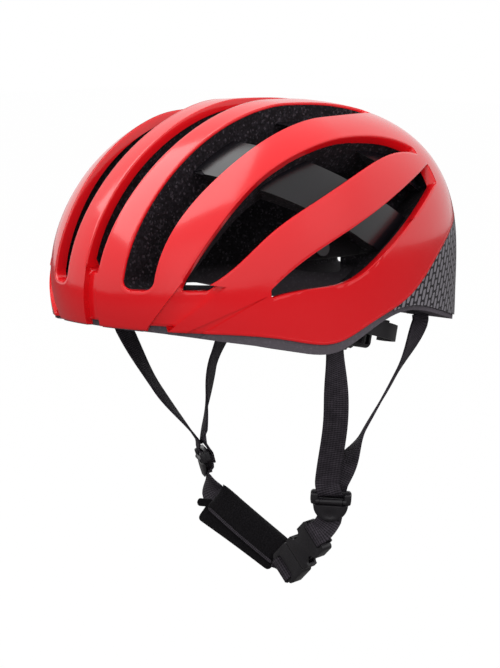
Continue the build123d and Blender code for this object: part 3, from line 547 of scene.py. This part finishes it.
def run_through(stations, spacing=WEB_STEP):
    """Smooth run through (point in mm, direction across) stations, as (point, along, across) steps."""
    points = [Vector(point) * MM for point, across in stations]
    sides = [Vector(across).normalized() for point, across in stations]
    for index in range(1, len(sides)):
        if sides[index].dot(sides[index - 1]) < 0:
            sides[index] = -sides[index]
    last = len(points) - 1
    ways = [(points[min(i + 1, last)] - points[max(i - 1, 0)]).normalized() for i in range(len(points))]
    steps = []
    for index in range(last):
        start, end = points[index], points[index + 1]
        reach = (end - start).length
        count = max(2, round(reach / spacing))
        for step in range(count + (index == last - 1)):
            t = step / count
            place = (start * (2 * t**3 - 3 * t**2 + 1) + ways[index] * reach * (t**3 - 2 * t**2 + t)
                     + end * (3 * t**2 - 2 * t**3) + ways[index + 1] * reach * (t**3 - t**2))
            steps.append([place, None, sides[index].slerp(sides[index + 1], t * t * (3 - 2 * t))])
    for index, step in enumerate(steps):
        ahead = steps[min(index + 1, len(steps) - 1)][0] - steps[max(index - 1, 0)][0]
        step[1] = ahead.normalized()
        step[2] = (step[2] - step[1] * step[2].dot(step[1])).normalized()
    return steps


def webbing(name, stations, wide=WEB_WIDE, thick=WEB_THICK, corner=0.0, spacing=WEB_STEP):
    """Woven strap along a smooth run, mapped in millimetres across and along; corner rounds its ends."""
    steps = run_through(stations, spacing)
    travelled = [0.0]
    for before, after in zip(steps, steps[1:]):
        travelled.append(travelled[-1] + (after[0] - before[0]).length)
    deselect()
    bpy.ops.mesh.primitive_grid_add(x_subdivisions=len(steps) - 1, y_subdivisions=WEB_YARNS, size=2)
    strap = bpy.context.object
    strap.name = name
    places = {}
    for point in strap.data.vertices:
        index = round((point.co.x + 1) / 2 * (len(steps) - 1))
        short = max(0, corner - min(travelled[index], travelled[-1] - travelled[index]))
        aside = point.co.y * (wide / 2 - corner + (corner**2 - short**2) ** 0.5)
        places[point.index] = (aside / MM, travelled[index] / MM)
        point.co = steps[index][0] + steps[index][2] * aside
    layer = strap.data.uv_layers.active
    for loop in strap.data.loops:
        layer.data[loop.index].uv = places[loop.vertex_index]
    modify(strap, "woven thickness", "SOLIDIFY", thickness=thick, offset=0)
    modify(strap, "turned selvedge", "BEVEL", width=thick * 0.35, segments=2, limit_method="ANGLE",
           angle_limit=radians(60))
    smooth(50)
    return strap


def local(placement, *stations):
    """Stations given in a fitting's own millimetres: (x, y, z) with the strap across its y."""
    across = placement.to_3x3() @ Vector((0, 1, 0))
    return [(tuple(placement @ (Vector(point) * MM) / MM), tuple(across)) for point in stations]


LEFT_SPLITTER = facing((68, -2, -100), (-0.08, 0, -1), (0.65, -0.74, 0.1))
RIGHT_SPLITTER = facing((-43, 3, -90), (0.2, 0.17, -1), (-0.62, -0.78, 0))
BUCKLE = facing((44, -4, -144), (0.724, -0.104, 0.682), (0, -1, 0))
ALONG_Y = (0, 1, 0)
# the strap wraps the bar at the end of a fitting: x along it, z through it
SOCKET_WRAP = ((28.5, 0, 0.5), (26.2, 0, 4.4), (24, 0, 5.1), (22.2, 0, 4.2), (21.9, 0, 0), (22.2, 0, -4.2),
               (24, 0, -5.1), (26.2, 0, -4.4), (28.5, 0, -0.9))
PLUG_WRAP = ((-20.5, 0, 0.5), (-18.4, 0, 4.4), (-16, 0, 5.1), (-14, 0, 4.2), (-13.4, 0, 0), (-14, 0, -4.2),
             (-16, 0, -5.1), (-18.4, 0, -4.4), (-20.5, 0, -0.9))
# a strap that enters a splitter in front lies on its face, dips into the upper slot and runs on behind
FRONT_IN = ((-6, -3, 2.0), (-1, -2, 2.4), (1.6, -1, 2.1), (3.2, 0, 0), (4.6, 0, -2.3), (9, 0, -2.6))
REAR_IN = ((-6, 3, -1.4), (-1, 2, -2.4), (3, 1, -3.8), (9, 0, -4.1))
LOW_OUT = ((9, 0, -2.6), (12.6, 0, -2.2), (14, 0, 0), (15.4, 0, 1.9), (17.6, 0, 1.6))
# the chin pad's two ends and the way across it, in mm
PAD_TOP = Vector((-33.5, 4.2, -120.4))
PAD_LOW = Vector((24, 3.2, -148))
PAD_ACROSS = (-0.38, -0.5, -0.78)
# a harness strap turns from fixed to swinging between these heights from its anchor's mouth
BLEND_ABOVE = Vector((0, 0, 4 * MM))
BLEND_BELOW = Vector((0, 0, 10 * MM))


def add_webbing():
    """All the straps of the harness."""
    left_front = [((88, -24, -1.8), ALONG_Y), ((88, -24, -7.8), ALONG_Y),
                  ((80.5, -13.5, -52), (0.75, 0.65, -0.06))] + local(LEFT_SPLITTER, *FRONT_IN)
    left_rear = [((78, 72, 2.2), ALONG_Y), ((78, 72, -3.8), ALONG_Y), ((76.2, 50, -34), (-0.6, 0.75, -0.3)),
                 ((73.5, 22, -66), (-0.68, 0.57, -0.39))] + local(LEFT_SPLITTER, *REAR_IN)
    left_chin = local(LEFT_SPLITTER, *LOW_OUT) + local(BUCKLE, *SOCKET_WRAP)
    for name, stations, node in (("left_front_webbing", left_front, "left_front_strap"),
                                 ("left_rear_webbing", left_rear, "left_rear_strap"),
                                 ("left_chin_webbing", left_chin, "left_chin_strap")):
        finish_piece(webbing(name, stations), "helmet", "webbing", WEBBING, node)
    right_front = [((-88, -24, -1.8), ALONG_Y), ((-88, -24, -7), ALONG_Y), ((-87, -23.5, -14), ALONG_Y),
                   ((-68, -13, -52), (-0.45, 0.89, 0))] + local(RIGHT_SPLITTER, *FRONT_IN)
    right_rear = [((-78, 72, 2.2), ALONG_Y), ((-78, 72, -3), ALONG_Y), ((-77.5, 71, -10), ALONG_Y),
                  ((-71, 43, -44), (-0.45, 0.89, 0))] + local(RIGHT_SPLITTER, *REAR_IN)
    for name, stations, nodes in (
            ("right_front_webbing", right_front, ("right_front_strap", "right_strap_roots")),
            ("right_rear_webbing", right_rear, ("right_rear_strap",))):
        strap = webbing(name, stations)
        mouth = Vector(stations[1][0]) * MM
        finish_piece(strap, None, "webbing", WEBBING, *nodes)
        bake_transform(strap, "helmet", "right_harness", start=tuple(mouth + BLEND_ABOVE),
                 end=tuple(mouth - BLEND_BELOW))
    chin = webbing("right_chin_webbing", local(RIGHT_SPLITTER, *LOW_OUT)
                   + [(tuple(PAD_TOP), PAD_ACROSS), (tuple(PAD_LOW), PAD_ACROSS)] + local(BUCKLE, *PLUG_WRAP))
    finish_piece(chin, "right_harness", "webbing", WEBBING, "chin_strap")


# ---------------------------------------------------------------- comfort pads
PAD_VOXEL = 1.6 * MM
PUFF_PRESSURE = 4
PUFF_FRAMES = 20


def puff(pad, swell):
    """Short cloth run with air pressure, which moves no point further than swell."""
    rest = [point.co.copy() for point in pad.data.vertices]
    cloth = pad.modifiers.new("puff", "CLOTH")
    cloth.settings.use_pressure = True
    cloth.settings.uniform_pressure_force = PUFF_PRESSURE
    cloth.settings.effector_weights.gravity = 0
    cloth.settings.quality = 5
    for number in range(1, PUFF_FRAMES + 1):
        bpy.context.scene.frame_set(number)
    bpy.context.view_layer.objects.active = pad
    bpy.ops.object.modifier_apply(modifier=cloth.name)
    bpy.context.scene.frame_set(1)
    for point, start in zip(pad.data.vertices, rest):
        move = point.co - start
        if move.length > swell:
            point.co = start + move.normalized() * swell


def stuffed_pad(node_name, name, body, swell=0.8 * MM):
    """Knit-covered foam pad: the CAD pad's form rounded, puffed by a short cloth run and smoothed."""
    pad = merged_copy(node_name, name)
    edit_all()
    bpy.ops.transform.shrink_fatten(value=-0.5 * swell)
    bpy.ops.object.mode_set(mode="OBJECT")
    modify(pad, "even mesh", "REMESH", mode="VOXEL", voxel_size=PAD_VOXEL)
    modify(pad, "rounded edges", "SMOOTH", factor=0.6, iterations=6)
    puff(pad, swell)
    modify(pad, "fine", "SUBSURF", levels=1, render_levels=1)
    bpy.ops.object.shade_smooth()
    finish_piece(pad, body, "pad", PAD_KNIT, node_name)


def add_pads():
    """Comfort pads inside the shell and the sleeve on the chin strap."""
    stuffed_pad("brow_pad", "brow_cushion", "helmet")
    stuffed_pad("crown_pads", "crown_cushions", "helmet")
    stuffed_pad("side_pads", "side_cushions", "helmet")
    stuffed_pad("neck_pad", "neck_cushion", "cradle")
    stuffed_pad("chin_pad", "chin_cushion", "right_harness", swell=1.6 * MM)


# ---------------------------------------------------------------- chin sleeve's flap and tab
# square to the sleeve, on its rear side
PAD_BACK = Vector((-0.66, 0.75, -0.16))


def add_chin_flap():
    """Lower leaf of the wrap-round sleeve, open at its upper end, its binding and the pull tab."""
    aside = Vector(PAD_ACROSS).normalized()
    leaf = [(PAD_TOP + aside * 12.0 + PAD_BACK * 4, PAD_ACROSS),
            (PAD_TOP.lerp(PAD_LOW, 0.5) + aside * 9.5 + PAD_BACK * 5, PAD_ACROSS),
            (PAD_LOW + aside * 7.5 + PAD_BACK * 4.5, PAD_ACROSS)]
    flap = webbing("chin_flap", leaf, 14 * MM, 3 * MM, 3 * MM, 0.8 * MM)
    finish_piece(flap, "right_harness", "pad", PAD_KNIT)
    edge = [(place - PAD_BACK * 3.2, PAD_ACROSS) for place in
            (PAD_TOP.lerp(PAD_LOW, 0.03) + aside * 8.6, PAD_TOP.lerp(PAD_LOW, 0.5) + aside * 9.1,
             PAD_TOP.lerp(PAD_LOW, 0.97) + aside * 8.6)]
    binding = webbing("chin_binding", edge, 1.8 * MM, 1.4 * MM, 0.6 * MM, 0.8 * MM)
    finish_piece(binding, "right_harness", "webbing", WEBBING)
    start = PAD_TOP + aside * 6
    places = (start + Vector((4, 3, -1)), start, start + Vector((-6, -5.2, 0.8)))
    tab = webbing("chin_tab", [(place, PAD_ACROSS) for place in places], 5 * MM, 1.8 * MM, 2.2 * MM, 0.5 * MM)
    finish_piece(tab, "right_harness", "pad", PAD_KNIT)


# ---------------------------------------------------------------- moulded hardware
def moulded(node_name, name, body, radius):
    """A moulding with the small radius that its tool leaves on every edge."""
    part = merged_copy(node_name, name)
    edit_all()
    bpy.ops.mesh.dissolve_limited(angle_limit=radians(1))
    bpy.ops.object.mode_set(mode="OBJECT")
    modify(part, "tool radius", "BEVEL", width=radius, segments=2, limit_method="ANGLE",
           angle_limit=radians(35))
    smooth(40)
    finish_piece(part, body, "black_plastic", ACETAL, node_name)


# shield on a lever, in a splitter's own mm: its top and tip along the strap, half its width, its height
SHIELD_TOP = 8.1
SHIELD_TIP = 18.6
SHIELD_HALF = 10.8
SHIELD_HEIGHT = 5.0
SHIELD_THICK = 1.1 * MM
# thumb dimple: its place along the strap, half length, half width and depth
DIMPLE_AT = 14.4
DIMPLE_LONG = 2.6
DIMPLE_WIDE = 3.2
DIMPLE_DEEP = 0.9
# cheek at the end of a splitter's slot: its middle, its size and how much lower its outer end is
CHEEK_AT = (4.6, 10.1, 2.4)
CHEEK_SIZE = (7.2, 4.4, 4.6)
CHEEK_FALL = 0.8
CHEEK_ROUND = 1.3 * MM


def splitter_face(placement, name, body):
    """Crowned shield on a splitter's lock lever, with a thumb dimple near its tip."""
    deselect()
    bpy.ops.mesh.primitive_grid_add(x_subdivisions=24, y_subdivisions=24, size=2)
    face = bpy.context.object
    face.name = name
    for point in face.data.vertices:
        down, aside = (point.co.x + 1) / 2, point.co.y
        half = SHIELD_HALF * (1 - down**2.6) ** 0.5 * (1 - 0.12 * down) + 0.02
        x = SHIELD_TOP + (SHIELD_TIP - SHIELD_TOP) * down
        y = aside * half
        rim = max(abs(aside), 2 * down - 1, 1 - 8 * down)
        lift = SHIELD_HEIGHT - 1.1 * rim**6 - 0.5 * (y / SHIELD_HALF) ** 2
        dimple = ((x - DIMPLE_AT) / DIMPLE_LONG) ** 2 + (y / DIMPLE_WIDE) ** 2
        lift -= DIMPLE_DEEP / (1 + dimple**2)
        point.co = placement @ (Vector((x, y, lift)) * MM)
    modify(face, "shell", "SOLIDIFY", thickness=SHIELD_THICK, offset=-1)
    edit_all()
    bpy.ops.mesh.remove_doubles(threshold=0.01 * MM)
    bpy.ops.mesh.normals_make_consistent(inside=False)
    bpy.ops.object.mode_set(mode="OBJECT")
    smooth(50)
    finish_piece(face, body, "black_plastic", ACETAL)


def splitter_cheeks(placement, name, body):
    """Rounded cheek at each end of a splitter's upper slot, which guards the strap's edges."""
    deselect()
    for side in (-1, 1):
        bpy.ops.mesh.primitive_cube_add(size=1)
        cheek = bpy.context.object
        for point in cheek.data.vertices:
            x, y, z = point.co
            place = (CHEEK_AT[0] + CHEEK_SIZE[0] * x, side * CHEEK_AT[1] + CHEEK_SIZE[1] * y,
                     CHEEK_AT[2] + (CHEEK_SIZE[2] - CHEEK_FALL * (x > 0)) * z)
            point.co = placement @ (Vector(place) * MM)
        edit_all()
        bpy.ops.mesh.bevel(offset=CHEEK_ROUND, segments=4, affect="EDGES")
        bpy.ops.mesh.normals_make_consistent(inside=False)
        bpy.ops.object.mode_set(mode="OBJECT")
        smooth(40)
        cheek.name = f"{name}_{'upper' if side > 0 else 'lower'}"
        finish_piece(cheek, body, "black_plastic", ACETAL)


def add_hardware():
    """Buckle and splitters with their moulded edges, and the shields and cheeks on the splitters."""
    for node, body, radius in (
            ("buckle_socket", "helmet", 0.5), ("buckle_plug", "right_harness", 0.5),
            ("buckle_prong_upper", "prong_upper", 0.4), ("buckle_prong_lower", "prong_lower", 0.4),
            ("left_splitter", "helmet", 0.4), ("right_splitter", "right_harness", 0.4),
            ("left_splitter_lever", "left_lever", 0.3), ("right_splitter_lever", "right_lever", 0.3)):
        name = node.replace("buckle", "clip").replace("splitter", "divider") + "_moulded"
        moulded(node, name, body, radius * MM)
    splitter_cheeks(LEFT_SPLITTER, "left_cheek", "helmet")
    splitter_cheeks(RIGHT_SPLITTER, "right_cheek", "right_harness")
    splitter_face(LEFT_SPLITTER, "left_lever_shield", "left_lever")
    splitter_face(RIGHT_SPLITTER, "right_lever_shield", "right_lever")


deselect()
bpy.context.scene.view_settings.view_transform = "Standard"
add_camera()
add_stage()
finish_cad_nodes()
turned_edges("top_shell", "red_skin_edges", "helmet", "shell_red", SHELL_RED)
bridge_skins()
add_webbing()
add_pads()
add_chin_flap()
add_hardware()
